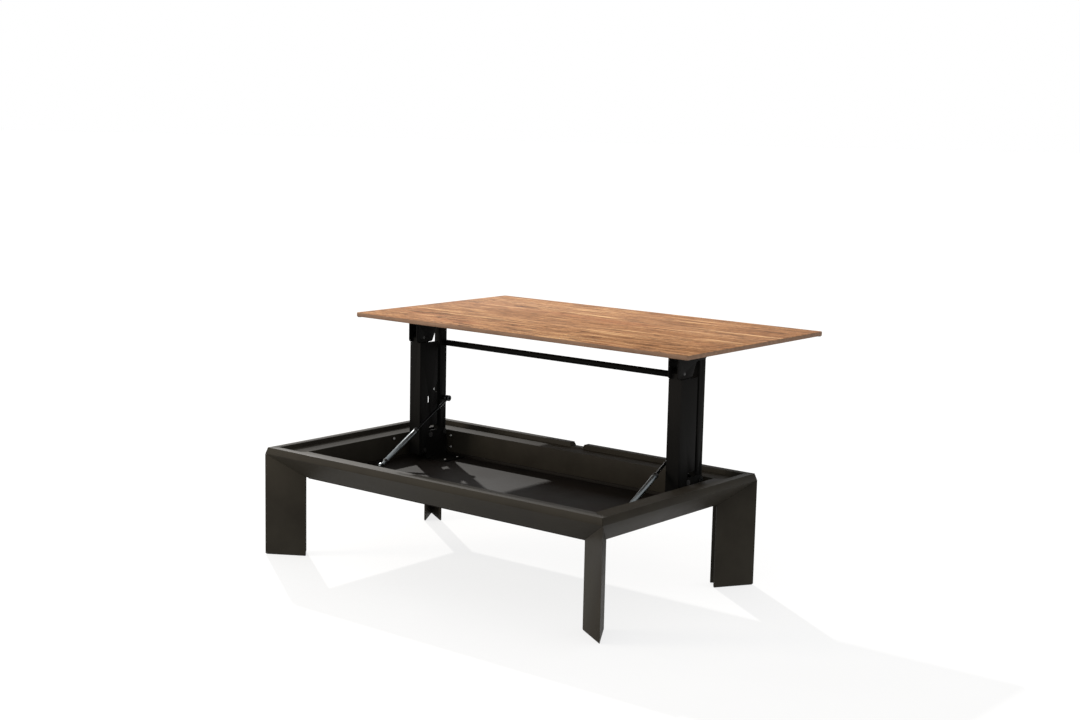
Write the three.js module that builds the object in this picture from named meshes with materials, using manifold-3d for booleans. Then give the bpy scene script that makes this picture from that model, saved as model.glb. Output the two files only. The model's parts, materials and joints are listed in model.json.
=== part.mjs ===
// Lift top coffee table: a faceted aluminium frame with a tray, and a wooden top on a parallel-arm lift.
// Millimetres, +Z up. +X along the long side, +Y towards the back. The table is built about the middle
// of its frame with the top raised, and moved at the end so that the origin lies on the floor under the
// middle of the whole table.
import * as THREE from "three";
import { mergeVertices } from "three/addons/utils/BufferGeometryUtils.js";
import Module from "manifold-3d";

// ---- Frame ----------------------------------------------------------------------------------
const FRAME_LENGTH = 1200;       // along X, between the outer ridges
const FRAME_DEPTH = 700;         // along Y, between the outer ridges
const RIDGE_HEIGHT = 294;        // height of the outer ridge line
const RIM_RISE = 18;             // the rim that the closed top comes down to, above the ridge
const RIM_INSET = 5.5;           // the rim's outer edge, in from the ridge
const RIM_WIDTH = 22;
const LEDGE_DROP = 13;           // the ledge below the rim
const RAIL_WIDTH = 86;           // from the ridge in to the rail's inner wall
const FACE_INSET = 62;           // the sloping outer faces run this far in
const FACE_DROP = 63;            // ... and this far down
const RAIL_WALL = 3.5;
const LEG_SPREAD = 100;          // each leg flange runs this far along its side of the table
const LEG_WALL = 5;
const GLIDE_THICKNESS = 2;
const GLIDE_INSET = 0.5;
const KEY_LENGTH = 80;           // arms of the keys inside the mitred corners
const KEY_WALL_GAP = 1.5;        // clearance of a key inside the rail
const NOTCH_WIDTH = 50;          // finger notch in the rear rim
const NOTCH_DEPTH = 11;

// ---- Tray -----------------------------------------------------------------------------------
const TRAY_FLOOR_DROP = 8;       // tray floor below the rails' underside
const TRAY_SHEET = 2;
const FLANGE_SETBACK = 8;        // the tray's flange under the rails, in from their outer faces

// ---- Top ------------------------------------------------------------------------------------
const TOP_MARGIN_X = 8;          // the closed top stays this far inside the ridge
const TOP_MARGIN_Y = 7;
const TOP_THICKNESS = 12;
const TOP_CORNER = 7;            // plan corner radius
const PAD_SPACE = 2;             // between rim and closed top, filled by the pads
const PAD_RADIUS = 7;

// ---- Lift mechanism -------------------------------------------------------------------------
const COLUMN_SPACE = 44.5;       // middle plane of each arm set, in from the end rail
const ARM_LENGTH = 344;          // pivot to pivot
const PIVOT_SPACE = 115;         // lower pivot of the front arm, in from the rear rail
const PIVOT_RISE = 28;           // ... and its height above the tray floor
const REAR_BACK = 92;            // the rear arm's pivots behind the front arm's
const HEADROOM = 2.7;            // rear arm's upper end under the top bracket's crown
const SHEET = 3;                 // pressed steel of arms and brackets
const ARM_WIDTH = 41;            // front arm channel, across
const ARM_FRONT = 20;            // channel's front face ahead of its pivots
const ARM_BACK = 57;             // channel's open edge behind its pivots
const ARM_END = 10;              // channel below its lower pivot
const SHOULDER_GAP = 1;          // channel's side walls stop this far below the top bracket
const TONGUE_BACK = 22;          // side walls behind the pivot, in the cut-back lower part
const TONGUE_HEIGHT = 73;
const LUG_GAP = 1.5;             // side clearance of the lug and the rear arm between the cheeks
const LUG_RADIUS = 13;
const LUG_ROOT = 54;
const CHEEK_GAP = 1;             // side clearance between cheeks and the channel
const REAR_DEPTH = 28;           // rear arm tube, front to back
const REAR_WALL = 2;
const PIN_RADIUS = 5;
const PIN_CLEARANCE = 0.3;
const PIN_HEAD = 8;
const PIN_HEAD_HEIGHT = 4;
const EAR_RADIUS = 14;           // rounded ends around the pivots
const BAR_RADIUS = 9;
const BAR_DROP = 68;             // cross bar below the rear arm's upper pivot
const BAR_BACK = 9;              // ... and behind it
const BAR_SLOT_RISE = 12;        // slot in the inner wall that takes the bar when folded
const BAR_SLOT_CLEARANCE = 1.5;
const WINDOW_WIDTH = 7;          // slotted window in the channel's inner wall
const WINDOW_LENGTH = 20;
const WINDOW_UP = 154;
const WINDOW_BACK = 18;
const FOOT_REACH = 75;           // foot plate of the base bracket, in from its inner cheek
const CROWN_WIDTH = 60;          // top bracket's flanges under the top, across
const HANGER_AHEAD = 31;         // its cheeks ahead of the front upper pivot
const HANGER_REACH = 30;         // ... their deep part behind it
const HANGER_BRIDGE = 30;        // ... and their shallow part ahead of the rear upper pivot
const HANGER_CORNER = 10;
const STOP_RADIUS = 8.2;
const STOP_BACK = 30.5;          // raised-position stop, behind and above the lower pivot
const STOP_UP = 45;

// ---- Gas struts -----------------------------------------------------------------------------
const STUD_UP = 108;             // upper stud above the rear arm's lower pivot
const ANCHOR_AHEAD = 197;        // lower pin ahead of the front arm's lower pivot
const ANCHOR_RISE = 13;          // ... and above the tray floor
const STRUT_SPACE = 12.5;        // strut's plane, in from the front arm's side
const STRUT_LENGTH_CLOSED = 175; // lower pin to the cylinder's upper end
const TUBE_RADIUS = 7.5;
const TUBE_BORE = 6;
const ROD_RADIUS = 4;
const PISTON_RADIUS = 5.8;
const PISTON_LENGTH = 5;
const GUIDE_LENGTH = 4;
const EYE_RADIUS = 9;
const EYE_WIDTH = 11;
const EYE_PIN_RADIUS = 4;
const TUBE_BASE = 21;            // lower pin to the tube's closed end inside
const STUD_COLLAR = 7;
const STUD_HEAD = 2;
const STUD_SPACE = 1;            // between the upper stud's end and the rod's eye

const GAP = 0.3;                 // between pieces that touch
const ROUND = 32;                // segments round a circle

// ---- Derived places -------------------------------------------------------------------------
const halfLength = FRAME_LENGTH / 2;
const halfDepth = FRAME_DEPTH / 2;
const rimHeight = RIDGE_HEIGHT + RIM_RISE;
const ledgeHeight = rimHeight - LEDGE_DROP;
const railUnderside = RIDGE_HEIGHT - FACE_DROP;
const trayFloor = railUnderside - TRAY_FLOOR_DROP;
const columnX = halfLength - RAIL_WIDTH - COLUMN_SPACE;
const frontLow = new THREE.Vector2(halfDepth - RAIL_WIDTH - PIVOT_SPACE, trayFloor + PIVOT_RISE);
const closedUnderside = rimHeight + PAD_SPACE;
const rearUp = closedUnderside - GAP - SHEET - HEADROOM - REAR_DEPTH / 2 - frontLow.y;
const rearLow = new THREE.Vector2(frontLow.x + REAR_BACK, frontLow.y + rearUp);
const frontHigh = new THREE.Vector2(frontLow.x, frontLow.y + ARM_LENGTH);
const rearHigh = new THREE.Vector2(rearLow.x, rearLow.y + ARM_LENGTH);
const topUnderside = closedUnderside + ARM_LENGTH;
const topShift = ARM_LENGTH;     // the raised top stands this far back of the frame
const cheekOuter = ARM_WIDTH / 2 - SHEET - CHEEK_GAP;
const cheekInner = cheekOuter - SHEET;
const lugHalf = cheekInner - LUG_GAP;
const barUp = ARM_LENGTH - BAR_DROP;
const stud = new THREE.Vector2(rearLow.x, rearLow.y + STUD_UP);
const anchor = new THREE.Vector2(frontLow.x - ANCHOR_AHEAD, trayFloor + ANCHOR_RISE);

// ---- Materials ------------------------------------------------------------------------------
const finishes = {
  frame: { color: 0x35322e, roughness: 0.5, metalness: 0.4 },
  tray: { color: 0x3b3835, roughness: 0.6, metalness: 0.3 },
  lift: { color: 0x1f1f1f, roughness: 0.5, metalness: 0.4 },
  pin: { color: 0x2a2a2a, roughness: 0.4, metalness: 0.8 },
  steel: { color: 0xa8aaac, roughness: 0.35, metalness: 0.9 },
  strut: { color: 0x55585a, roughness: 0.35, metalness: 0.7 },
  wood: { color: 0xa8714a, roughness: 0.55, metalness: 0 },
  rubber: { color: 0x151515, roughness: 0.8, metalness: 0 },
  plastic: { color: 0x1a1a1a, roughness: 0.6, metalness: 0 },
};

// ---- Solids ---------------------------------------------------------------------------------
const wasm = await Module();
wasm.setup();

function solid(geometry) {
  const bare = geometry.clone();
  bare.deleteAttribute("normal");
  bare.deleteAttribute("uv");
  const merged = mergeVertices(bare, 1e-4);
  return new wasm.Manifold(new wasm.Mesh({
    numProp: 3,
    vertProperties: new Float32Array(merged.attributes.position.array),
    triVerts: new Uint32Array(merged.index.array),
  }));
}

function geometryOf(manifold) {
  const mesh = manifold.getMesh();
  const geometry = new THREE.BufferGeometry();
  geometry.setAttribute("position", new THREE.BufferAttribute(new Float32Array(mesh.vertProperties), 3));
  geometry.setIndex(new THREE.BufferAttribute(new Uint32Array(mesh.triVerts), 1));
  return geometry;
}

function shapeOf(points) {
  return new THREE.Shape(points.map(([x, y]) => new THREE.Vector2(x, y)));
}

function circle(x, y, radius) {
  return new THREE.Shape().absarc(x, y, radius, 0, Math.PI * 2, false);
}

function extrusion(shape, depth) {
  return new THREE.ExtrudeGeometry(shape, { depth, bevelEnabled: false, curveSegments: ROUND / 2 });
}

// Extrudes a plan outline (x, y) from z0 up to z1.
function upright(shape, z0, z1) {
  return solid(extrusion(shape, z1 - z0).translate(0, 0, z0));
}

// Extrudes a side outline (y, z) from x0 to x1.
function sideways(shape, x0, x1) {
  const turn = new THREE.Matrix4().makeBasis(
    new THREE.Vector3(0, 1, 0), new THREE.Vector3(0, 0, 1), new THREE.Vector3(1, 0, 0));
  return solid(extrusion(shape, Math.abs(x1 - x0)).applyMatrix4(turn).translate(Math.min(x0, x1), 0, 0));
}

// Extrudes a front outline (x, z) from y0 back to y1.
function backward(shape, y0, y1) {
  return solid(extrusion(shape, y1 - y0).rotateX(Math.PI / 2).translate(0, y1, 0));
}

function box(x0, x1, y0, y1, z0, z1) {
  const xs = [Math.min(x0, x1), Math.max(x0, x1)];
  return upright(shapeOf([[xs[0], y0], [xs[1], y0], [xs[1], y1], [xs[0], y1]]), z0, z1);
}

function disc(centre, radius, x0, x1) {
  return sideways(circle(centre.x, centre.y, radius), x0, x1);
}

const table = new THREE.Group();

function add(name, manifold, finish) {
  const mesh = new THREE.Mesh(geometryOf(manifold), new THREE.MeshStandardMaterial(finishes[finish]));
  mesh.name = name;
  table.add(mesh);
}

// Moves every edge of a counter-clockwise outline inwards by the same distance.
function insetOutline(points, distance) {
  const edges = points.map((p, i) => {
    const q = points[(i + 1) % points.length];
    const length = Math.hypot(q[0] - p[0], q[1] - p[1]);
    const normal = [-(q[1] - p[1]) / length, (q[0] - p[0]) / length];
    return { normal, offset: normal[0] * p[0] + normal[1] * p[1] + distance };
  });
  return edges.map((e, i) => {
    const f = edges[(i + edges.length - 1) % edges.length];
    const det = e.normal[0] * f.normal[1] - e.normal[1] * f.normal[0];
    return [
      (e.offset * f.normal[1] - f.offset * e.normal[1]) / det,
      (e.normal[0] * f.offset - f.normal[0] * e.offset) / det,
    ];
  });
}

// ---- Rails ----------------------------------------------------------------------------------
// The rail's section as (distance in from the ridge, height), counter-clockwise.
const railOutline = [
  [0, RIDGE_HEIGHT],
  [FACE_INSET, railUnderside],
  [RAIL_WIDTH, railUnderside],
  [RAIL_WIDTH, ledgeHeight],
  [RIM_INSET + RIM_WIDTH, ledgeHeight],
  [RIM_INSET + RIM_WIDTH, rimHeight],
  [RIM_INSET, rimHeight],
];
const railHollow = insetOutline(railOutline, RAIL_WALL);

// A trapezoid in plan that holds one side's rail between its two mitres.
function mitrePlan(side, gap) {
  const { along, across, half, reach } = side;
  const outer = half - gap;
  const inner = outer - RAIL_WIDTH - 1;
  const corners = [[-outer - 1, reach + 1], [outer + 1, reach + 1], [inner, reach - RAIL_WIDTH - 1],
    [-inner, reach - RAIL_WIDTH - 1]];
  const place = ([s, t]) => [along[0] * s + across[0] * t, along[1] * s + across[1] * t];
  return upright(shapeOf(corners.map(place)), 0, rimHeight + 50);
}

const sides = {
  front: { along: [1, 0], across: [0, -1], half: halfLength, reach: halfDepth },
  rear: { along: [1, 0], across: [0, 1], half: halfLength, reach: halfDepth },
  left: { along: [0, 1], across: [-1, 0], half: halfDepth, reach: halfLength },
  right: { along: [0, 1], across: [1, 0], half: halfDepth, reach: halfLength },
};

function railBar(side, outline) {
  const { along, across, half, reach } = side;
  if (along[0]) {
    return sideways(shapeOf(outline.map(([d, z]) => [across[1] * (reach - d), z])), -half, half);
  }
  return backward(shapeOf(outline.map(([d, z]) => [across[0] * (reach - d), z])), -half, half);
}

const railEnvelopes = {};
for (const [name, side] of Object.entries(sides)) {
  railEnvelopes[name] = railBar(side, railOutline).intersect(mitrePlan(side, 0)).translate(0, 0, -GAP);
  let rail = railBar(side, railOutline).subtract(railBar(side, railHollow));
  if (name === "rear") {
    rail = withFingerNotch(rail);
  }
  add(`rail_${name}`, rail.intersect(mitrePlan(side, GAP)), "frame");
}

// The notch is cut in a closed stretch of the rim, so that the hollow rail doesn't show in it.
function withFingerNotch(rail) {
  const half = NOTCH_WIDTH / 2;
  const infill = box(-half - 6, half + 6, halfDepth - RIM_INSET - RIM_WIDTH + 1, halfDepth - RIM_INSET - 1,
    RIDGE_HEIGHT + 1, rimHeight - 1);
  const slant = 3;
  const cut = backward(shapeOf([
    [-half + slant, rimHeight - NOTCH_DEPTH], [half - slant, rimHeight - NOTCH_DEPTH],
    [half + slant, rimHeight + 5], [-half - slant, rimHeight + 5],
  ]), halfDepth - RIM_INSET - RIM_WIDTH - 5, halfDepth + 5);
  return rail.add(infill).subtract(cut);
}

// ---- Legs, glides and corner keys -----------------------------------------------------------
const corners = {
  front_left: [-1, -1], front_right: [1, -1], rear_right: [1, 1], rear_left: [-1, 1],
};

// A V in plan, as (in along X, in along Y) from the corner ridge, with its flanges a wall thick.
function legOutline(wall, trim) {
  const reach = Math.hypot(LEG_SPREAD, FACE_INSET);
  const [ux, uy] = [LEG_SPREAD / reach, FACE_INSET / reach];
  const end = [ux * (reach - trim), uy * (reach - trim)];
  const halfAngle = Math.PI / 4 - Math.atan2(FACE_INSET, LEG_SPREAD);
  const shift = (distance) => distance / Math.sin(halfAngle) / Math.SQRT2;
  const inside = [end[0] - uy * wall, end[1] + ux * wall];
  return [
    [shift(trim), shift(trim)],
    [end[0] - uy * trim, end[1] + ux * trim], inside,
    [shift(wall), shift(wall)],
    [inside[1], inside[0]], [end[1] + ux * trim, end[0] - uy * trim],
  ];
}

function atCorner(outline, [sx, sy]) {
  return shapeOf(outline.map(([u, v]) => [sx * (halfLength - u), sy * (halfDepth - v)]));
}

for (const [name, corner] of Object.entries(corners)) {
  const longSide = corner[1] < 0 ? "front" : "rear";
  const shortSide = corner[0] < 0 ? "left" : "right";
  const section = atCorner(legOutline(LEG_WALL, 0), corner);
  const blank = upright(section, GLIDE_THICKNESS + GAP, RIDGE_HEIGHT - GAP * 2);
  const leg = blank.subtract(railEnvelopes[longSide]).subtract(railEnvelopes[shortSide]);
  add(`leg_${name}`, leg, "frame");
  const sole = atCorner(legOutline(LEG_WALL - GLIDE_INSET, GLIDE_INSET), corner);
  add(`glide_${name}`, upright(sole, 0, GLIDE_THICKNESS), "plastic");
}

const keyOuter = FACE_INSET + KEY_WALL_GAP;
const keyInner = RAIL_WIDTH - RAIL_WALL - KEY_WALL_GAP;
const keyEnd = keyOuter + KEY_LENGTH;
const keyOutline = [
  [keyOuter, keyOuter], [keyEnd, keyOuter], [keyEnd, keyInner],
  [keyInner, keyInner], [keyInner, keyEnd], [keyOuter, keyEnd],
];
const keyBottom = railUnderside + RAIL_WALL * 2;
const keyTop = ledgeHeight - RAIL_WALL - KEY_WALL_GAP;
for (const [name, corner] of Object.entries(corners)) {
  add(`corner_key_${name}`, upright(atCorner(keyOutline, corner), keyBottom, keyTop), "steel");
}

// ---- Tray -----------------------------------------------------------------------------------
const trayHalfX = halfLength - RAIL_WIDTH;
const trayHalfY = halfDepth - RAIL_WIDTH;
const flangeTop = railUnderside - GAP;
const trayFlange = RAIL_WIDTH - FACE_INSET - FLANGE_SETBACK;

function trayPan() {
  const flange = box(-trayHalfX - trayFlange, trayHalfX + trayFlange, -trayHalfY - trayFlange,
    trayHalfY + trayFlange, flangeTop - TRAY_SHEET, flangeTop);
  const well = box(-trayHalfX, trayHalfX, -trayHalfY, trayHalfY, trayFloor - TRAY_SHEET, flangeTop);
  const room = box(-trayHalfX + TRAY_SHEET, trayHalfX - TRAY_SHEET, -trayHalfY + TRAY_SHEET,
    trayHalfY - TRAY_SHEET, trayFloor, flangeTop + 5);
  return flange.add(well).subtract(room);
}
add("tray_floor", trayPan(), "tray");

// ---- Top ------------------------------------------------------------------------------------
function roundedRectangle(halfX, halfY, radius, centreY) {
  const shape = new THREE.Shape();
  shape.absarc(halfX - radius, centreY - halfY + radius, radius, -Math.PI / 2, 0, false);
  shape.absarc(halfX - radius, centreY + halfY - radius, radius, 0, Math.PI / 2, false);
  shape.absarc(-halfX + radius, centreY + halfY - radius, radius, Math.PI / 2, Math.PI, false);
  shape.absarc(-halfX + radius, centreY - halfY + radius, radius, Math.PI, Math.PI * 1.5, false);
  return shape;
}
const topHalfX = halfLength - TOP_MARGIN_X;
const topHalfY = halfDepth - TOP_MARGIN_Y;
const topOutline = roundedRectangle(topHalfX, topHalfY, TOP_CORNER, topShift);
add("table_top", upright(topOutline, topUnderside, topUnderside + TOP_THICKNESS), "wood");

const padInset = RIM_INSET + RIM_WIDTH / 2;
for (const [name, [sx, sy]] of Object.entries(corners)) {
  const pad = circle(sx * (halfLength - padInset), sy * (halfDepth - padInset) + topShift, PAD_RADIUS);
  add(`pad_${name}`, upright(pad, topUnderside - PAD_SPACE + GAP, topUnderside - GAP), "rubber");
}

// ---- Lift mechanism, one set at each end ----------------------------------------------------
// Bracket outlines are closed by arcs around the pivots, listed here as short runs of points.
function arcPoints(centre, radius, from, to, steps) {
  return Array.from({ length: steps + 1 }, (unused, i) => {
    const angle = THREE.MathUtils.degToRad(from + (to - from) * i / steps);
    return [centre.x + radius * Math.cos(angle), centre.y + radius * Math.sin(angle)];
  });
}

function pinHole(centre, x0, x1) {
  return disc(centre, PIN_RADIUS + PIN_CLEARANCE, x0, x1);
}

const footTop = trayFloor + GAP + SHEET;
const footFront = frontLow.x + EAR_RADIUS + 2;
const footRear = rearLow.x + EAR_RADIUS;
const hangerFront = frontHigh.x - HANGER_AHEAD;
const hangerBottom = frontHigh.y - EAR_RADIUS;

function baseBracket(cx, inward) {
  const cheek = shapeOf([
    [footFront, trayFloor + GAP], [footRear, trayFloor + GAP],
    ...arcPoints(rearLow, EAR_RADIUS, 0, 90, 6),
    [frontLow.x + STOP_BACK - 6, rearLow.y + EAR_RADIUS],
    ...arcPoints(frontLow, EAR_RADIUS, 145, 315, 12),
  ]);
  const cheeks = sideways(cheek, cx - cheekOuter, cx - cheekInner)
    .add(sideways(cheek, cx + cheekInner, cx + cheekOuter));
  const foot = box(cx - inward * cheekOuter, cx + inward * (cheekOuter + FOOT_REACH), footFront, footRear,
    trayFloor + GAP, footTop);
  const across = [cx - ARM_WIDTH, cx + ARM_WIDTH];
  return cheeks.add(foot).subtract(pinHole(frontLow, ...across)).subtract(pinHole(rearLow, ...across));
}

function frontArm(cx, inward) {
  const half = ARM_WIDTH / 2;
  const [front, back] = [frontLow.x - ARM_FRONT, frontLow.x + ARM_BACK];
  const [low, high] = [frontLow.y - ARM_END, hangerBottom - SHOULDER_GAP];
  const tongue = frontLow.x + TONGUE_BACK;
  const wall = shapeOf([
    [front, low], [tongue - 8, low], [tongue, low + 8], [tongue, frontLow.y + TONGUE_HEIGHT - 6],
    [tongue + 6, frontLow.y + TONGUE_HEIGHT], [back - 4, frontLow.y + TONGUE_HEIGHT],
    [back, frontLow.y + TONGUE_HEIGHT + 4], [back, high], [front, high],
  ]);
  const window = new THREE.Shape();
  const [wy, wz] = [frontLow.x + WINDOW_BACK, frontLow.y + WINDOW_UP];
  const straight = (WINDOW_LENGTH - WINDOW_WIDTH) / 2;
  window.absarc(wy, wz + straight, WINDOW_WIDTH / 2, 0, Math.PI, false);
  window.absarc(wy, wz - straight, WINDOW_WIDTH / 2, Math.PI, Math.PI * 2, false);
  // Where the cross bar lies when folded, seen from this arm.
  const barFolded = new THREE.Vector2(frontLow.x + rearUp + BAR_BACK, frontLow.y + barUp - REAR_BACK);
  const slotRadius = BAR_RADIUS + BAR_SLOT_CLEARANCE;
  const barSlot = shapeOf([
    [back + 5, barFolded.y + slotRadius + BAR_SLOT_RISE],
    ...arcPoints(barFolded, slotRadius, 115, 270, 8), [back + 5, barFolded.y - slotRadius],
  ]);
  const innerWall = inward < 0 ? [cx - half, cx - half + SHEET] : [cx + half - SHEET, cx + half];
  const outerWall = inward < 0 ? [cx + half - SHEET, cx + half] : [cx - half, cx - half + SHEET];
  const cutThrough = (shape) => sideways(shape, innerWall[0] - 1, innerWall[1] + 1);
  const flange = box(cx - half, cx + half, front, front + SHEET, low, high);
  const lug = sideways(shapeOf([
    [front, frontHigh.y - LUG_ROOT], [frontHigh.x + LUG_RADIUS, frontHigh.y - LUG_ROOT],
    ...arcPoints(frontHigh, LUG_RADIUS, 0, 120, 8), [front, frontHigh.y],
  ]), cx - lugHalf, cx + lugHalf);
  return sideways(wall, ...innerWall).subtract(cutThrough(window)).subtract(cutThrough(barSlot))
    .add(sideways(wall, ...outerWall)).add(flange).add(lug)
    .subtract(pinHole(frontLow, cx - ARM_WIDTH, cx + ARM_WIDTH))
    .subtract(pinHole(frontHigh, cx - ARM_WIDTH, cx + ARM_WIDTH));
}

function rearArm(cx) {
  const half = REAR_DEPTH / 2;
  const outline = shapeOf([
    ...arcPoints(rearLow, half, 180, 360, 12), ...arcPoints(rearHigh, half, 0, 180, 12),
  ]);
  const [insideX, insideY] = [lugHalf - REAR_WALL, half - REAR_WALL];
  const hollow = box(cx - insideX, cx + insideX, rearLow.x - insideY, rearLow.x + insideY,
    rearLow.y - half - 5, rearHigh.y + half + 5);
  return sideways(outline, cx - lugHalf, cx + lugHalf).subtract(hollow)
    .subtract(pinHole(rearLow, cx - ARM_WIDTH, cx + ARM_WIDTH))
    .subtract(pinHole(rearHigh, cx - ARM_WIDTH, cx + ARM_WIDTH));
}

function topBracket(cx) {
  const top = topUnderside - GAP;
  const corner = HANGER_CORNER;
  const frontCorner = new THREE.Vector2(hangerFront + corner, hangerBottom + corner);
  const middleCorner = new THREE.Vector2(frontHigh.x + HANGER_REACH, hangerBottom + corner);
  const plate = shapeOf([
    [hangerFront, top], ...arcPoints(frontCorner, corner, 180, 270, 5),
    ...arcPoints(middleCorner, corner, 270, 340, 4),
    [rearHigh.x - HANGER_BRIDGE - 8, rearHigh.y - EAR_RADIUS - 4],
    [rearHigh.x - HANGER_BRIDGE, rearHigh.y - EAR_RADIUS],
    ...arcPoints(rearHigh, EAR_RADIUS, 270, 360, 6), [rearHigh.x + EAR_RADIUS, top],
  ]);
  const crownHalf = CROWN_WIDTH / 2;
  const crown = box(cx - crownHalf, cx + crownHalf, hangerFront, rearHigh.x + EAR_RADIUS, top - SHEET, top);
  return crown.add(sideways(plate, cx - cheekOuter, cx - cheekInner))
    .add(sideways(plate, cx + cheekInner, cx + cheekOuter))
    .subtract(pinHole(frontHigh, cx - ARM_WIDTH, cx + ARM_WIDTH))
    .subtract(pinHole(rearHigh, cx - ARM_WIDTH, cx + ARM_WIDTH));
}

// A headed pin through parts that reach halfSpan to each side of the column's middle plane. The upper pins
// have no heads, because the folded front arm's channel closes round the bracket there.
function pivotPin(centre, cx, halfSpan) {
  const reach = halfSpan + GAP;
  const head = (side) => disc(centre, PIN_HEAD, cx + side * reach, cx + side * (reach + PIN_HEAD_HEIGHT));
  return disc(centre, PIN_RADIUS, cx - reach, cx + reach).add(head(1)).add(head(-1));
}

// ---- Gas struts -----------------------------------------------------------------------------
// Each strut is turned on an axis of its own, laid along the line from its lower pin to the stud.
const strutLine = stud.clone().sub(anchor);
const strutAngle = THREE.MathUtils.radToDeg(strutLine.angle());
const strutLength = strutLine.length();

function turned(profile, x) {
  const geometry = new THREE.LatheGeometry(profile.map(([r, s]) => new THREE.Vector2(r, s)), ROUND / 2);
  geometry.rotateX(THREE.MathUtils.degToRad(strutAngle));
  return solid(geometry.translate(x, anchor.x, anchor.y));
}

function strutCylinder(x) {
  const bore = [[TUBE_BORE, TUBE_BASE], [TUBE_BORE, STRUT_LENGTH_CLOSED - GUIDE_LENGTH],
    [ROD_RADIUS + GAP, STRUT_LENGTH_CLOSED - GUIDE_LENGTH], [ROD_RADIUS + GAP, STRUT_LENGTH_CLOSED]];
  const body = turned([[0, 6], [TUBE_RADIUS - 2, 6], [TUBE_RADIUS - 2, 14], [TUBE_RADIUS, 16],
    [TUBE_RADIUS, STRUT_LENGTH_CLOSED - 1], [TUBE_RADIUS - 1, STRUT_LENGTH_CLOSED],
    ...bore.reverse(), [0, TUBE_BASE]], x);
  return body.add(disc(anchor, EYE_RADIUS, x - EYE_WIDTH / 2, x + EYE_WIDTH / 2))
    .subtract(disc(anchor, EYE_PIN_RADIUS + PIN_CLEARANCE, x - EYE_WIDTH, x + EYE_WIDTH));
}

function strutRod(x) {
  const foot = STRUT_LENGTH_CLOSED - GUIDE_LENGTH - GAP - PISTON_LENGTH;
  const rod = turned([[0, foot], [PISTON_RADIUS, foot], [PISTON_RADIUS, foot + PISTON_LENGTH],
    [ROD_RADIUS, foot + PISTON_LENGTH], [ROD_RADIUS, strutLength - 6], [0, strutLength - 6]], x);
  return rod.add(disc(stud, EYE_RADIUS, x - EYE_WIDTH / 2, x + EYE_WIDTH / 2))
    .subtract(disc(stud, EYE_PIN_RADIUS + PIN_CLEARANCE, x - EYE_WIDTH, x + EYE_WIDTH));
}

// A shouldered stud that starts on a face at x0 and goes through an eye in the strut's plane.
function eyeStud(centre, x0, x, side) {
  const shoulder = x - side * (EYE_WIDTH / 2 + GAP);
  const end = x + side * (EYE_WIDTH / 2 + GAP);
  return disc(centre, STUD_COLLAR, x0, shoulder).add(disc(centre, EYE_PIN_RADIUS, x0, end))
    .add(disc(centre, STUD_COLLAR, end, end + side * STUD_HEAD));
}

function strutAnchor(x, side) {
  const plateNear = x - side * (EYE_WIDTH / 2 + STUD_HEAD);
  const plateFar = plateNear - side * SHEET;
  const plate = sideways(shapeOf([
    [anchor.x - 20, trayFloor + GAP], [anchor.x + 20, trayFloor + GAP],
    ...arcPoints(anchor, EYE_RADIUS + 1, 20, 160, 8),
  ]), plateNear, plateFar);
  const foot = box(plateNear, plateFar - side * 26, anchor.x - 20, anchor.x + 20,
    trayFloor + GAP, trayFloor + GAP + SHEET);
  return plate.add(foot).add(eyeStud(anchor, plateNear, x, side));
}

for (const [name, end] of [["left", -1], ["right", 1]]) {
  const cx = end * columnX;
  const inward = -end;
  const strutX = cx + inward * (ARM_WIDTH / 2 + STRUT_SPACE);
  add(`base_bracket_${name}`, baseBracket(cx, inward), "lift");
  add(`front_arm_${name}`, frontArm(cx, inward), "lift");
  add(`rear_arm_${name}`, rearArm(cx), "lift");
  add(`top_bracket_${name}`, topBracket(cx), "lift");
  add(`front_lower_pin_${name}`, pivotPin(frontLow, cx, ARM_WIDTH / 2), "pin");
  add(`rear_lower_pin_${name}`, pivotPin(rearLow, cx, cheekOuter), "pin");
  add(`front_upper_pin_${name}`, disc(frontHigh, PIN_RADIUS, cx - cheekOuter, cx + cheekOuter), "pin");
  add(`rear_upper_pin_${name}`, disc(rearHigh, PIN_RADIUS, cx - cheekOuter, cx + cheekOuter), "pin");
  const stop = new THREE.Vector2(frontLow.x + STOP_BACK, frontLow.y + STOP_UP);
  for (const [place, side] of [["inner", inward], ["outer", end]]) {
    add(`stop_buffer_${place}_${name}`, disc(stop, STOP_RADIUS, cx + side * (cheekOuter + GAP),
      cx + side * (cheekOuter + GAP + SHEET + CHEEK_GAP)), "rubber");
  }
  add(`strut_cylinder_${name}`, strutCylinder(strutX), "strut");
  add(`strut_rod_${name}`, strutRod(strutX), "pin");
  add(`strut_anchor_${name}`, strutAnchor(strutX, inward), "lift");
  add(`strut_stud_${name}`, disc(stud, STUD_COLLAR, cx + inward * (lugHalf + GAP),
    strutX - inward * (EYE_WIDTH / 2 + STUD_SPACE)), "pin");
}

const barHalf = columnX - lugHalf - GAP;
const bar = new THREE.Vector2(rearLow.x + BAR_BACK, rearLow.y + barUp);
add("cross_bar", disc(bar, BAR_RADIUS, -barHalf, barHalf), "lift");

table.position.y = -(topShift - TOP_MARGIN_Y) / 2;

export default table;
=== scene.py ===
"""Looks of the lift top coffee table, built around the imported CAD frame."""

import json
import math

import bmesh
import bpy
from mathutils import Matrix, Vector


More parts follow.
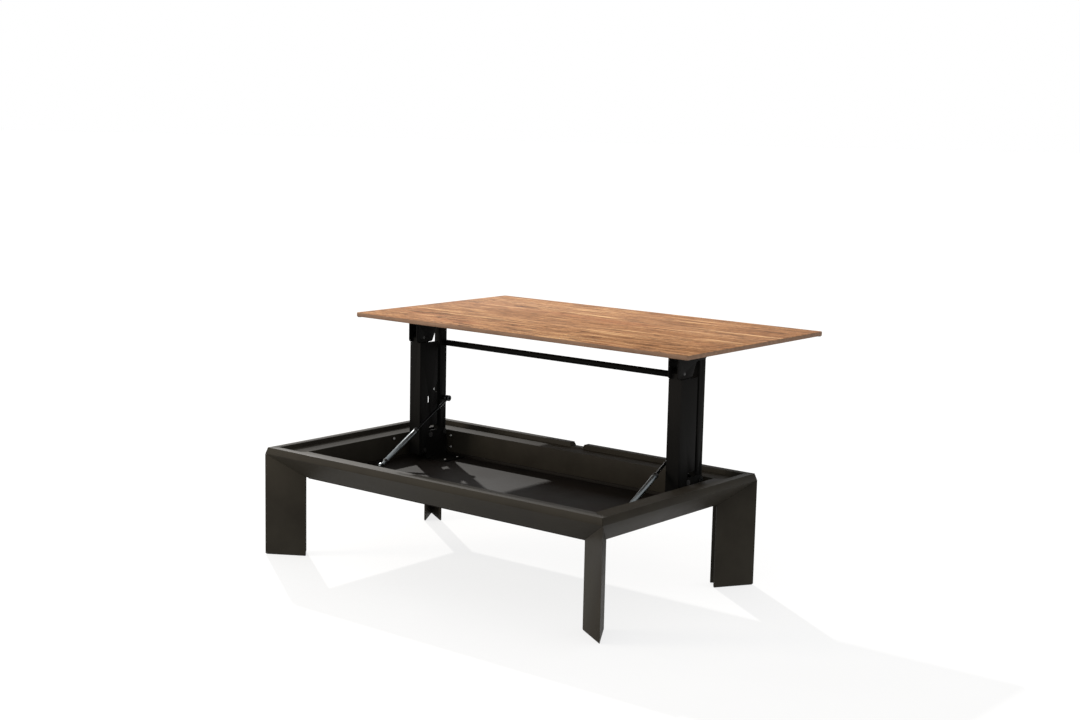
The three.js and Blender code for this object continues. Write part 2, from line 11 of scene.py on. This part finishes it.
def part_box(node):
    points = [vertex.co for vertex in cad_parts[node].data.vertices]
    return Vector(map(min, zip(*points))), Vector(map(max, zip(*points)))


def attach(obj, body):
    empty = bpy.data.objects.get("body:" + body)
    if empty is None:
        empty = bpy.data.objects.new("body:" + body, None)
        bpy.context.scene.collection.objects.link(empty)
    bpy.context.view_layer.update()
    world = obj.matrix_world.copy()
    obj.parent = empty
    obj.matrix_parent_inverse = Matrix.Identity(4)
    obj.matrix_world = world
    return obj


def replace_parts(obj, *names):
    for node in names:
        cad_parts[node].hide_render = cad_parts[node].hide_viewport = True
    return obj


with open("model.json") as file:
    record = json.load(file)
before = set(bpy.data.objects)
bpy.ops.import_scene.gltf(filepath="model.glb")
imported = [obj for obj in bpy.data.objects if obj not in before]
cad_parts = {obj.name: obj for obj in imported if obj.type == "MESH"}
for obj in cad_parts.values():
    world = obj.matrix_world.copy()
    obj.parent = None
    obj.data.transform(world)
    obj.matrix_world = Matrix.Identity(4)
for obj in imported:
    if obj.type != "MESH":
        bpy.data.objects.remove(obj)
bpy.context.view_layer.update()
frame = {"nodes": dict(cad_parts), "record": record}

MM = 0.001

# Places worked out from the frame.
front_rail_low, front_rail_high = (Vector(c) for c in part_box("rail_front"))
rear_rail_low, rear_rail_high = (Vector(c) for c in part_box("rail_rear"))
FRAME_MIDDLE_Y = (front_rail_low.y + rear_rail_high.y) / 2
SIDES = {"left": -1, "right": 1}


# ---- Shader helpers --------------------------------------------------------------------------

def linear(red, green, blue):
    """An sRGB colour given from 0 to 255, as Blender's linear colour."""
    def channel(value):
        value /= 255
        return value / 12.92 if value <= 0.04045 else ((value + 0.055) / 1.055) ** 2.4
    return (channel(red), channel(green), channel(blue), 1)


class Shader:
    """A material's node tree, with short calls for the nodes this scene uses."""

    def __init__(self, name, **uniform):
        self.material = bpy.data.materials.new(name)
        self.material.use_nodes = True
        self.tree = self.material.node_tree
        self.bsdf = self.tree.nodes["Principled BSDF"]
        self.coordinates = self.tree.nodes.new("ShaderNodeTexCoord").outputs["Object"]
        for socket, value in uniform.items():
            self.bsdf.inputs[socket.replace("_", " ")].default_value = value

    def link(self, source, target):
        self.tree.links.new(source, target)

    def stretched(self, scale, offset=(0, 0, 0)):
        mapping = self.tree.nodes.new("ShaderNodeMapping")
        mapping.inputs["Scale"].default_value = scale
        mapping.inputs["Location"].default_value = offset
        self.link(self.coordinates, mapping.inputs["Vector"])
        return mapping.outputs["Vector"]

    def noise(self, scale, detail=3, roughness=0.5, distortion=0, vector=None):
        node = self.tree.nodes.new("ShaderNodeTexNoise")
        node.inputs["Scale"].default_value = scale
        node.inputs["Detail"].default_value = detail
        node.inputs["Roughness"].default_value = roughness
        node.inputs["Distortion"].default_value = distortion
        self.link(vector or self.coordinates, node.inputs["Vector"])
        return node.outputs["Fac"]

    def ramp(self, value, *stops):
        node = self.tree.nodes.new("ShaderNodeValToRGB")
        elements = node.color_ramp.elements
        while len(elements) < len(stops):
            elements.new(1)
        for element, (position, colour) in zip(elements, stops):
            element.position = position
            element.color = colour if len(colour) == 4 else (*colour, 1)
        self.link(value, node.inputs["Fac"])
        return node.outputs["Color"]

    def grey(self, value, low, high, dark=0.0, light=1.0):
        """Maps value from low..high to dark..light."""
        node = self.tree.nodes.new("ShaderNodeMapRange")
        for socket, number in zip(("From Min", "From Max", "To Min", "To Max"), (low, high, dark, light)):
            node.inputs[socket].default_value = number
        self.link(value, node.inputs["Value"])
        return node.outputs["Result"]

    def mix(self, amount, a, b, blend="MIX"):
        node = self.tree.nodes.new("ShaderNodeMix")
        node.data_type = "RGBA"
        node.blend_type = blend
        for source, socket in ((amount, node.inputs[0]), (a, node.inputs[6]), (b, node.inputs[7])):
            if isinstance(source, bpy.types.NodeSocket):
                self.link(source, socket)
            else:
                socket.default_value = source
        return node.outputs[2]

    def maths(self, operation, a, b):
        node = self.tree.nodes.new("ShaderNodeMath")
        node.operation = operation
        for source, socket in ((a, node.inputs[0]), (b, node.inputs[1])):
            if isinstance(source, bpy.types.NodeSocket):
                self.link(source, socket)
            else:
                socket.default_value = source
        return node.outputs[0]

    def bump(self, height, strength, distance, below=None):
        node = self.tree.nodes.new("ShaderNodeBump")
        node.inputs["Strength"].default_value = strength
        node.inputs["Distance"].default_value = distance
        self.link(height, node.inputs["Height"])
        if below:
            self.link(below, node.inputs["Normal"])
        return node.outputs["Normal"]

    def finish(self, colour=None, roughness=None, normal=None):
        for source, socket in ((colour, "Base Color"), (roughness, "Roughness"), (normal, "Normal")):
            if source:
                self.link(source, self.bsdf.inputs[socket])
        return self.material


# ---- Materials -------------------------------------------------------------------------------

def powder_coat(name, dark, light, rough_low, rough_high, specular):
    """Textured powder coat: a very fine orange peel, a slow drift of tone, and faint rubbed specks."""
    shader = Shader(name, Specular_IOR_Level=specular)
    drift = shader.noise(5, detail=4, roughness=0.6)
    grain = shader.noise(900, detail=2, roughness=0.6)
    dust = shader.noise(160, detail=5, roughness=0.75)
    tone = shader.ramp(drift, (0.35, dark), (0.68, light))
    speckled = shader.mix(shader.grey(grain, 0.62, 0.74, 0, 0.3), tone, light)
    colour = shader.mix(shader.grey(dust, 0.66, 0.8, 0, 0.1), speckled, linear(110, 105, 98))
    roughness = shader.grey(drift, 0.3, 0.7, rough_low, rough_high)
    peel = shader.bump(grain, 0.22, 0.0002)
    return shader.finish(colour, roughness, shader.bump(dust, 0.08, 0.0003, peel))


def bright_steel():
    shader = Shader("bright_fixings", Metallic=1.0)
    brushed = shader.noise(60, detail=4, vector=shader.stretched((1, 18, 18)))
    stain = shader.noise(220, detail=4, roughness=0.7)
    colour = shader.ramp(stain, (0.35, linear(184, 184, 182)), (0.7, linear(222, 222, 219)))
    return shader.finish(colour, shader.grey(brushed, 0.3, 0.7, 0.22, 0.4), shader.bump(brushed, 0.1, 0.0001))


def dark_steel():
    shader = Shader("dark_fixings", Metallic=0.85)
    stain = shader.noise(240, detail=4, roughness=0.7)
    colour = shader.ramp(stain, (0.35, linear(34, 34, 34)), (0.7, linear(58, 58, 57)))
    return shader.finish(colour, shader.grey(stain, 0.3, 0.7, 0.32, 0.5), shader.bump(stain, 0.08, 0.0001))


def strut_lacquer():
    shader = Shader("strut_lacquer", Metallic=0.9, Coat_Weight=0.3, Coat_Roughness=0.15)
    drift = shader.noise(40, detail=4, roughness=0.6)
    colour = shader.ramp(drift, (0.35, linear(98, 104, 107)), (0.7, linear(124, 131, 134)))
    return shader.finish(colour, shader.grey(drift, 0.3, 0.7, 0.26, 0.4), shader.bump(drift, 0.05, 0.0002))


def rod_steel():
    """Very smooth metal rod coloured nearly black: painted shade, its dark colour stands in for the shadow
    the rod lies in.
    """
    shader = Shader("rod_steel", Metallic=0.9)
    rings = shader.noise(900, detail=2)
    colour = shader.ramp(rings, (0.3, linear(34, 35, 37)), (0.75, linear(52, 54, 56)))
    return shader.finish(colour, shader.grey(rings, 0.3, 0.7, 0.16, 0.28), shader.bump(rings, 0.04, 0.0001))


def moulded(name, dark, light, rough_low, rough_high):
    shader = Shader(name, Specular_IOR_Level=0.4)
    grain = shader.noise(700, detail=3, roughness=0.6)
    drift = shader.noise(60, detail=3)
    colour = shader.ramp(drift, (0.3, dark), (0.7, light))
    return shader.finish(colour, shader.grey(drift, 0.3, 0.7, rough_low, rough_high),
                         shader.bump(grain, 0.25, 0.0003))


def wood():
    """Reclaimed oak boards laid along X: short rough grain, slow changes of tone, dark streaks, cracks."""
    shader = Shader("wood_top", Specular_IOR_Level=0.02)
    sway = shader.noise(2.2, detail=2, vector=shader.stretched((0.8, 0.8, 0.8)))
    grain = shader.noise(4.0, detail=9, roughness=0.78, distortion=0.5,
                         vector=shader.stretched((2.6, 15, 15)))
    fine = shader.noise(15, detail=6, roughness=0.78, vector=shader.stretched((4.0, 20, 20)))
    tone = shader.noise(2.4, detail=3, roughness=0.6, vector=shader.stretched((0.5, 6.5, 1), (3.1, 0.4, 0)))
    rust = shader.noise(2.6, detail=4, roughness=0.6,
                        vector=shader.stretched((0.8, 3.2, 1), (7.7, 2.1, 0)))
    body = shader.ramp(grain, (0.36, linear(91, 60, 36)), (0.45, linear(141, 100, 66)),
                       (0.53, linear(166, 120, 81)), (0.64, linear(197, 153, 108)))
    toned = shader.mix(shader.grey(tone, 0.40, 0.64, 0, 0.5), body, linear(196, 172, 138), "MULTIPLY")
    warm = shader.mix(shader.grey(rust, 0.54, 0.72, 0, 0.4), toned, linear(150, 88, 52))
    lined = shader.mix(shader.grey(fine, 0.38, 0.50, 0.75, 0), warm, linear(92, 60, 38))
    presence = shader.noise(1.6, detail=2, vector=shader.stretched((1.0, 2.6, 1), (2.2, 6.1, 0)))
    streak = shader.noise(3.2, detail=8, roughness=0.72, distortion=0.25,
                          vector=shader.stretched((2.8, 15, 15), (1.7, 5.3, 0)))
    streaks = shader.maths("MULTIPLY", shader.grey(streak, 0.56, 0.61, 0, 0.95),
                           shader.grey(presence, 0.38, 0.56, 0.3, 1))
    streaked = shader.mix(streaks, lined, linear(70, 42, 26))
    pale = shader.noise(2.6, detail=6, roughness=0.6, vector=shader.stretched((1.2, 30, 30), (9.2, 3.3, 0)))
    bleached = shader.mix(shader.grey(pale, 0.58, 0.66, 0, 0.65), streaked, linear(224, 182, 132))
    crack = shader.noise(3.0, detail=6, roughness=0.62, distortion=0.2,
                         vector=shader.stretched((2.0, 30, 30), (4.4, 8.8, 0)))
    cracks = shader.maths("MULTIPLY", shader.grey(crack, 0.635, 0.665, 0, 1),
                          shader.grey(presence, 0.44, 0.58, 0.1, 1))
    colour = shader.mix(cracks, bleached, linear(26, 15, 10))
    pores = shader.bump(fine, 0.35, 0.0005)
    furrows = shader.bump(shader.grey(crack, 0.63, 0.69, 1, 0), 0.6, 0.0006, pores)
    return shader.finish(colour, shader.grey(sway, 0.3, 0.7, 0.6, 0.72), furrows)


def wood_edge():
    """The top's edge band, greyer and duller than the face."""
    shader = Shader("wood_edge", Specular_IOR_Level=0.12)
    layers = shader.noise(9, detail=6, roughness=0.7, vector=shader.stretched((1.2, 1.2, 60)))
    grain = shader.noise(7, detail=5, roughness=0.7, vector=shader.stretched((2, 14, 14)))
    colour = shader.mix(shader.grey(layers, 0.35, 0.65, 0.2, 0.7),
                        shader.ramp(grain, (0.35, linear(96, 72, 56)), (0.66, linear(134, 106, 86))),
                        linear(110, 88, 72))
    return shader.finish(colour, shader.grey(grain, 0.3, 0.7, 0.6, 0.8), shader.bump(layers, 0.3, 0.0003))


MATERIALS = {
    "frame_powder_coat": powder_coat(
        "frame_powder_coat", linear(34, 31, 26), linear(44, 41, 35), 0.5, 0.62, 0.05),
    # The tray's coat is darker than the frame's: painted shade, standing in for the shade the tray lies in
    # under the raised top.
    "tray_powder_coat": powder_coat(
        "tray_powder_coat", linear(15, 13, 11), linear(25, 21, 18), 0.5, 0.66, 0.06),
    "lift_powder_coat": powder_coat(
        "lift_powder_coat", linear(12, 12, 11), linear(20, 19, 18), 0.5, 0.62, 0.03),
    "dark_fixings": dark_steel(),
    "bright_fixings": bright_steel(),
    "strut_black": strut_lacquer(),
    "rod_steel": rod_steel(),
    "rubber_black": moulded("rubber_black", linear(18, 18, 18), linear(34, 33, 32), 0.7, 0.85),
    "plastic_glide": moulded("plastic_glide", linear(20, 20, 20), linear(36, 36, 36), 0.45, 0.6),
    "wood_top": wood(),
    "wood_edge": wood_edge(),
}
SLOTS = {part["node"]: part["material_slot"] for part in frame["record"]["subparts"]}
BODY_OF = {node: body for body, nodes in frame["record"]["behaviour"]["bodies"].items() for node in nodes}


# ---- Pieces ----------------------------------------------------------------------------------

def cleaned(node):
    """A copy of the CAD node's mesh with its triangles joined into flat faces."""
    mesh = bmesh.new()
    mesh.from_mesh(frame["nodes"][node].data)
    bmesh.ops.remove_doubles(mesh, verts=mesh.verts, dist=1e-6)
    bmesh.ops.dissolve_limit(mesh, angle_limit=math.radians(1), verts=mesh.verts, edges=mesh.edges,
                             delimit={"NORMAL"})
    return mesh


def place(mesh, name, body, material):
    data = bpy.data.meshes.new(name)
    mesh.to_mesh(data)
    mesh.free()
    piece = bpy.data.objects.new(name, data)
    bpy.context.collection.objects.link(piece)
    data.materials.append(MATERIALS[material])
    for polygon in data.polygons:
        polygon.use_smooth = True
    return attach(piece, body)


def soften(piece, width):
    """Rounds every edge sharper than 30 degrees, the way a press brake or a deburring wheel leaves it."""
    bevel = piece.modifiers.new("bevel", "BEVEL")
    bevel.width = width
    bevel.segments = 2
    bevel.limit_method = "ANGLE"
    bevel.angle_limit = math.radians(30)
    bevel.use_clamp_overlap = True
    bevel.harden_normals = True
    bevel.miter_outer = "MITER_ARC"


def refined(node, width, material=None):
    """The CAD node again, with real edges. It stands for the node."""
    slot = SLOTS[node]
    piece = place(cleaned(node), f"{node}_finished", BODY_OF[node], material or slot)
    soften(piece, width)
    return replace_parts(piece, node)


# Width of the rounded edges in mm, by the first word of the node's name.
EDGES = {
    "rail": 1.0, "leg": 0.8, "glide": 0.4, "corner": 0.8, "tray": 0.6, "table": 1.2, "pad": 0.3,
    "base": 0.5, "front": 0.8, "rear": 0.8, "top": 0.6, "cross": 0.4, "stop": 0.6, "strut": 0.5,
}
for node in SLOTS:
    width = EDGES[node.split("_")[0]] * MM
    material = "rod_steel" if node.startswith("strut_rod") else None
    piece = refined(node, width, material=material)
    if node == "table_top":
        piece.data.materials.append(MATERIALS["wood_edge"])
        for polygon in piece.data.polygons:
            polygon.material_index = int(polygon.normal.z < 0.5)


def turned_rings(mesh, profile, sides):
    """One ring of vertices for each (radius, height) of the profile."""
    return [[mesh.verts.new((r * math.cos(math.tau * k / sides), r * math.sin(math.tau * k / sides), z))
             for k in range(sides)] for r, z in profile]


def screw(name, centre, outward, radius, height, body):
    """A pan-head screw with a hexagon socket, whose head stands on the face at centre."""
    rounding = 5
    profile = [(radius * 0.5, height)]
    for i in range(rounding + 1):
        turn = math.pi / 2 * (1 - i / rounding)
        profile.append((radius * (0.7 + 0.3 * math.cos(turn)), height * (0.45 + 0.55 * math.sin(turn))))
    profile.append((radius, 0.0))
    mesh = bmesh.new()
    sides = 24
    rings = turned_rings(mesh, profile, sides)
    socket_depth = height * 0.55

    def hexagon(k, size):
        angle = math.tau * k / sides
        inside = (angle + math.pi / 6) % (math.pi / 3) - math.pi / 6
        reach = size * math.cos(math.pi / 6) / math.cos(inside)
        return (reach * math.cos(angle), reach * math.sin(angle))

    lip = [mesh.verts.new((*hexagon(k, radius * 0.5), height)) for k in range(sides)]
    floor = [mesh.verts.new((*hexagon(k, radius * 0.46), height - socket_depth)) for k in range(sides)]
    for lower, upper in zip(rings[1:], rings):
        bridge(mesh, lower, upper)
    bridge(mesh, rings[0], lip)
    bridge(mesh, lip, floor)
    mesh.faces.new(floor)
    mesh.faces.new(list(reversed(rings[-1])))
    turn = Vector((0, 0, 1)).rotation_difference(Vector(outward)).to_matrix().to_4x4()
    mesh.transform(Matrix.Translation(centre) @ turn)
    return place(mesh, name, body, "bright_fixings")


def bridge(mesh, lower, upper):
    for k, _ in enumerate(lower):
        following = (k + 1) % len(lower)
        mesh.faces.new((lower[k], lower[following], upper[following], upper[k]))


SCREW_RADIUS = 4.2 * MM
SCREW_HEIGHT = 2.6 * MM
CROWN_SCREW_HEIGHT = 2.4 * MM
SHEET = 3.0 * MM                   # the top brackets' crown
END_WALL = 0.0857                  # from the front rail's end in to the end rail's inner face
END_SCREWS = ((0.010, 0.250), (-0.062, 0.287))   # behind the arm's lower pivot, and height
REAR_SCREW_INBOARD = 0.027         # from the column's middle plane
REAR_SCREW_HEIGHTS = (0.248, 0.282)
FOOT_TOP = 0.2263                  # upper face of the base brackets' feet
FOOT_SCREW_INBOARD = 0.078         # from the column's middle plane
FOOT_SETBACK = 0.028               # from the bracket's front to 2 mm short of its foot
FOOT_SCREWS = (0.2, 0.8)           # shares of the depth behind that
CROWN_SCREW_ASIDE = 0.0232
CROWN_SCREWS = ((-1, 0.12), (1, 0.12), (-1, 0.88), (1, 0.88))   # side, and share of the depth


def rail_screws(side, sign, pivot):
    """Two screws through the end rail's inner wall and two through the rear rail's, beside a column."""
    wall_x = sign * (front_rail_high.x - END_WALL)
    for row, (behind, height) in enumerate(END_SCREWS):
        screw(f"end_screw_{row}_{side}", (wall_x, pivot.y + behind, height), (-sign, 0, 0),
              SCREW_RADIUS, SCREW_HEIGHT, "frame")
    for row, height in enumerate(REAR_SCREW_HEIGHTS):
        screw(f"rear_screw_{row}_{side}", (pivot.x - sign * REAR_SCREW_INBOARD, rear_rail_low.y, height),
              (0, -1, 0), SCREW_RADIUS, SCREW_HEIGHT, "frame")


def bracket_screws(side, sign, pivot):
    """Two screws in the base bracket's foot and four in the top bracket's crown."""
    foot_low, foot_high = (Vector(c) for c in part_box(f"base_bracket_{side}"))
    crown_low, crown_high = (Vector(c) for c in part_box(f"top_bracket_{side}"))
    foot_depth = foot_high.y - foot_low.y - FOOT_SETBACK
    for row, along in enumerate(FOOT_SCREWS):
        x = pivot.x - sign * FOOT_SCREW_INBOARD
        y = foot_low.y + FOOT_SETBACK + foot_depth * along
        screw(f"foot_screw_{row}_{side}", (x, y, FOOT_TOP), (0, 0, 1), SCREW_RADIUS, SCREW_HEIGHT, "frame")
    for row, (across, along) in enumerate(CROWN_SCREWS):
        y = crown_low.y + (crown_high.y - crown_low.y) * along
        screw(f"crown_screw_{row}_{side}", (pivot.x + across * CROWN_SCREW_ASIDE, y, crown_high.z - SHEET),
              (0, 0, -1), SCREW_RADIUS, CROWN_SCREW_HEIGHT, "top")


def screws():
    for side, sign in SIDES.items():
        pivot = middle_of(f"front_lower_pin_{side}")
        rail_screws(side, sign, pivot)
        bracket_screws(side, sign, pivot)


def middle_of(node):
    low, high = (Vector(c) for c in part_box(node))
    return (low + high) / 2


def collar(name, centre, axis, inner, outer, length, body):
    """A turned ring round an axis, with small chamfers."""
    chamfer = 0.5 * MM
    profile = ((inner, 0), (outer - chamfer, 0), (outer, chamfer), (outer, length - chamfer),
               (outer - chamfer, length), (inner, length))
    mesh = bmesh.new()
    sides = 32
    rings = turned_rings(mesh, profile, sides)
    for lower, upper in zip(rings, rings[1:] + rings[:1]):
        bridge(mesh, lower, upper)
    bmesh.ops.recalc_face_normals(mesh, faces=mesh.faces)
    turn = Vector((0, 0, 1)).rotation_difference(axis).to_matrix().to_4x4()
    mesh.transform(Matrix.Translation(centre) @ turn)
    piece = place(mesh, name, body, "dark_fixings")
    soften(piece, 0.15 * MM)


EYE_RADIUS = 9 * MM                # the cylinder's lower eye
COLLAR_BORE = 7.45 * MM            # just under the tube's surface
# Distance from the lower eye's centre to the ring's start, outer radius, length.
CRIMP = (17 * MM, 8.3 * MM, 9 * MM)
GLAND = (165 * MM, 8.2 * MM, 8 * MM)


def strut_collars():
    """The crimped end and the gland of each gas strut."""
    for side in SIDES:
        tube_low, _ = (Vector(c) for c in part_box(f"strut_cylinder_{side}"))
        upper = middle_of(f"strut_stud_{side}")
        x = middle_of(f"strut_cylinder_{side}").x
        lower = Vector((x, tube_low.y + EYE_RADIUS, tube_low.z + EYE_RADIUS))
        axis = Vector((0, upper.y - lower.y, upper.z - lower.z)).normalized()
        for kind, (along, outer, length) in (("crimp", CRIMP), ("gland", GLAND)):
            collar(f"strut_{kind}_{side}", lower + axis * along, axis, COLLAR_BORE, outer, length,
                   "strut_cylinders")


screws()
strut_collars()

# ---- Stage, light and camera -----------------------------------------------------------------

def studio_floor():
    """A wide pale floor. Most of its brightness is its own glow, so that shadows on it stay pale."""
    mesh = bmesh.new()
    bmesh.ops.create_circle(mesh, cap_ends=True, segments=96, radius=60)
    data = bpy.data.meshes.new("floor")
    mesh.to_mesh(data)
    mesh.free()
    floor = bpy.data.objects.new("floor", data)
    floor.location.z = -0.5 * MM   # just under the glides
    bpy.context.collection.objects.link(floor)
    shader = Shader("floor", Roughness=0.95, Specular_IOR_Level=0.1, Emission_Strength=0.78)
    shader.bsdf.inputs["Emission Color"].default_value = (1, 1, 1, 1)
    paper = shader.noise(3, detail=3)
    tone = shader.ramp(paper, (0.3, (0.155, 0.155, 0.155)), (0.7, (0.165, 0.165, 0.165)))
    data.materials.append(shader.finish(tone))


def light(name, kind, energy, location, target, size=None, angle=None, colour=(1, 1, 1)):
    data = bpy.data.lights.new(name, kind)
    data.energy = energy
    data.color = colour
    if size:
        data.shape = "RECTANGLE"
        data.size, data.size_y = size
    if angle:
        data.angle = math.radians(angle)
    lamp = bpy.data.objects.new(name, data)
    lamp.location = location
    lamp.rotation_euler = (Vector(target) - Vector(location)).to_track_quat("-Z", "Y").to_euler()
    bpy.context.collection.objects.link(lamp)


def lights():
    world = bpy.data.worlds.new("studio")
    world.use_nodes = True
    world.node_tree.nodes["Background"].inputs["Color"].default_value = (1, 1, 1, 1)
    world.node_tree.nodes["Background"].inputs["Strength"].default_value = 1.0
    bpy.context.scene.world = world
    bpy.context.scene.view_settings.view_transform = "Standard"
    middle = (0, FRAME_MIDDLE_Y, 0.3)
    light("sun", "SUN", 3.2, (-4.4, 2.8, 3.5), middle, angle=1.2, colour=(1, 0.97, 0.93))
    light("front_fill", "AREA", 150, (-3.2, -3.6, 1.9), (-0.2, FRAME_MIDDLE_Y, 0.4), size=(1.6, 1.6),
          colour=(1, 0.9, 0.76))


def camera():
    """The photograph's view: a 56 mm lens, from the right of the front and a little above."""
    yaw, pitch, roll = (math.radians(angle) for angle in (-38.83, 8.64, 1.23))
    distance, aside, above = 4.642, 0.095, 0.290
    forward = Vector((math.sin(yaw) * math.cos(pitch), math.cos(yaw) * math.cos(pitch), -math.sin(pitch)))
    level_right = Vector((math.cos(yaw), -math.sin(yaw), 0))
    level_up = level_right.cross(forward)
    right = math.cos(roll) * level_right + math.sin(roll) * level_up
    up = -math.sin(roll) * level_right + math.cos(roll) * level_up
    target = Vector((0, FRAME_MIDDLE_Y, 0.3))
    data = bpy.data.cameras.new("camera")
    data.lens = 55.63
    data.sensor_width = 36
    data.clip_end = 60
    viewer = bpy.data.objects.new("camera", data)
    turn = Matrix((right, up, -forward)).transposed()
    place_of_viewer = target - distance * forward + aside * right + above * up
    viewer.matrix_world = Matrix.Translation(place_of_viewer) @ turn.to_4x4()
    bpy.context.collection.objects.link(viewer)
    bpy.context.scene.camera = viewer


studio_floor()
lights()
camera()
